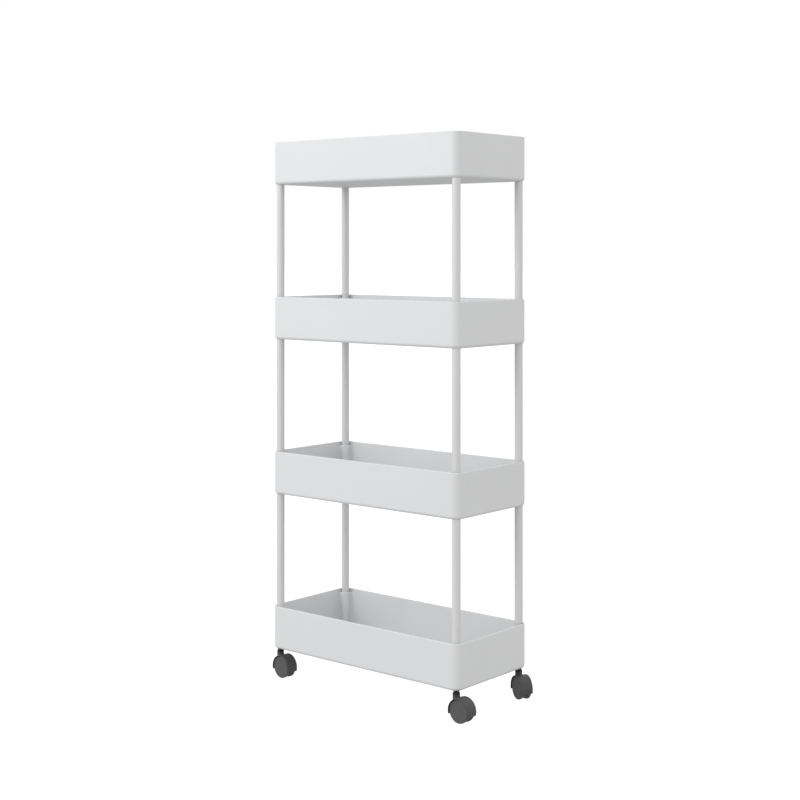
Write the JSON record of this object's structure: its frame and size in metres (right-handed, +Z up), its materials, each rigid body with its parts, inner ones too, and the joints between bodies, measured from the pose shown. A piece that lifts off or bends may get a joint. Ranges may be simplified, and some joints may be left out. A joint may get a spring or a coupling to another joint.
{
  "type": "rolling pantry cart",
  "caption": "Slim rolling pantry cart: open rectangular trays held one above another by corner tubes, on hooded twin-wheel swivel casters.",
  "frame": {"origin": "on the floor, under the middle of the trays", "axes": "+X along the long side, +Y from the front long side to the back one, +Z up"},
  "size_m": [0.4322, 0.1854, 0.8815],
  "materials": {
    "tray_plastic": "satin moulded",
    "tube_paint": "smooth white powder coat",
    "cap_plastic": "satin moulded",
    "bush_plastic": "black moulded",
    "hood_plastic": "dark grey moulded",
    "wheel_plastic": "dark grey moulded",
    "stem_steel": "turned, zinc plated",
    "spring_steel": "bright spring steel",
    "axle_steel": "turned steel"
  },
  "bodies": {
    "root": {"tray_bottom": "tray_plastic", "tray_lower_middle": "tray_plastic", "tray_upper_middle": "tray_plastic", "tray_top": "tray_plastic", "tube_lower_front_left": "tube_paint", "tube_lower_front_right": "tube_paint", "tube_lower_back_left": "tube_paint", "tube_lower_back_right": "tube_paint", "tube_middle_front_left": "tube_paint", "tube_middle_front_right": "tube_paint", "tube_middle_back_left": "tube_paint", "tube_middle_back_right": "tube_paint", "tube_upper_front_left": "tube_paint", "tube_upper_front_right": "tube_paint", "tube_upper_back_left": "tube_paint", "tube_upper_back_right": "tube_paint", "socket_cap_front_left": "cap_plastic", "front_left_stem_bush": "bush_plastic", "front_left_caster_stem": "stem_steel", "front_left_grip_ring": "spring_steel", "socket_cap_front_right": "cap_plastic", "front_right_stem_bush": "bush_plastic", "front_right_caster_stem": "stem_steel", "front_right_grip_ring": "spring_steel", "socket_cap_back_left": "cap_plastic", "back_left_stem_bush": "bush_plastic", "back_left_caster_stem": "stem_steel", "back_left_grip_ring": "spring_steel", "socket_cap_back_right": "cap_plastic", "back_right_stem_bush": "bush_plastic", "back_right_caster_stem": "stem_steel", "back_right_grip_ring": "spring_steel"},
    "front_left_caster": {"front_left_caster_hood": "hood_plastic", "front_left_caster_axle": "axle_steel"},
    "front_left_left_wheel": {"front_left_wheel_left": "wheel_plastic"},
    "front_left_right_wheel": {"front_left_wheel_right": "wheel_plastic"},
    "front_right_caster": {"front_right_caster_hood": "hood_plastic", "front_right_caster_axle": "axle_steel"},
    "front_right_left_wheel": {"front_right_wheel_left": "wheel_plastic"},
    "front_right_right_wheel": {"front_right_wheel_right": "wheel_plastic"},
    "back_left_caster": {"back_left_caster_hood": "hood_plastic", "back_left_caster_axle": "axle_steel"},
    "back_left_left_wheel": {"back_left_wheel_left": "wheel_plastic"},
    "back_left_right_wheel": {"back_left_wheel_right": "wheel_plastic"},
    "back_right_caster": {"back_right_caster_hood": "hood_plastic", "back_right_caster_axle": "axle_steel"},
    "back_right_left_wheel": {"back_right_wheel_left": "wheel_plastic"},
    "back_right_right_wheel": {"back_right_wheel_right": "wheel_plastic"}
  },
  "joints": [
    {"name": "front_left_swivel", "type": "hinge", "parent": "root", "child": "front_left_caster", "pos_m": [-0.1845, -0.0795, 0], "axis": [0, 0, 1], "continuous": true},
    {"name": "front_left_left_wheel_spin", "type": "hinge", "parent": "front_left_caster", "child": "front_left_left_wheel", "pos_m": [-0.17356, -0.08065, 0.0175], "axis": [0.1045, 0.9945, 0], "continuous": true},
    {"name": "front_left_right_wheel_spin", "type": "hinge", "parent": "front_left_caster", "child": "front_left_right_wheel", "pos_m": [-0.17356, -0.08065, 0.0175], "axis": [0.1045, 0.9945, 0], "continuous": true},
    {"name": "front_right_swivel", "type": "hinge", "parent": "root", "child": "front_right_caster", "pos_m": [0.1845, -0.0795, 0], "axis": [0, 0, 1], "continuous": true},
    {"name": "front_right_left_wheel_spin", "type": "hinge", "parent": "front_right_caster", "child": "front_right_left_wheel", "pos_m": [0.19549, -0.07988, 0.0175], "axis": [0.0349, 0.9994, 0], "continuous": true},
    {"name": "front_right_right_wheel_spin", "type": "hinge", "parent": "front_right_caster", "child": "front_right_right_wheel", "pos_m": [0.19549, -0.07988, 0.0175], "axis": [0.0349, 0.9994, 0], "continuous": true},
    {"name": "back_left_swivel", "type": "hinge", "parent": "root", "child": "back_left_caster", "pos_m": [-0.1845, 0.0795, 0], "axis": [0, 0, 1], "continuous": true},
    {"name": "back_left_left_wheel_spin", "type": "hinge", "parent": "back_left_caster", "child": "back_left_left_wheel", "pos_m": [-0.19447, 0.07485, 0.0175], "axis": [0.4226, -0.9063, 0], "continuous": true},
    {"name": "back_left_right_wheel_spin", "type": "hinge", "parent": "back_left_caster", "child": "back_left_right_wheel", "pos_m": [-0.19447, 0.07485, 0.0175], "axis": [0.4226, -0.9063, 0], "continuous": true},
    {"name": "back_right_swivel", "type": "hinge", "parent": "root", "child": "back_right_caster", "pos_m": [0.1845, 0.0795, 0], "axis": [0, 0, 1], "continuous": true},
    {"name": "back_right_left_wheel_spin", "type": "hinge", "parent": "back_right_caster", "child": "back_right_left_wheel", "pos_m": [0.19412, 0.07417, 0.0175], "axis": [0.4848, 0.8746, 0], "continuous": true},
    {"name": "back_right_right_wheel_spin", "type": "hinge", "parent": "back_right_caster", "child": "back_right_right_wheel", "pos_m": [0.19412, 0.07417, 0.0175], "axis": [0.4848, 0.8746, 0], "continuous": true}
  ]
}
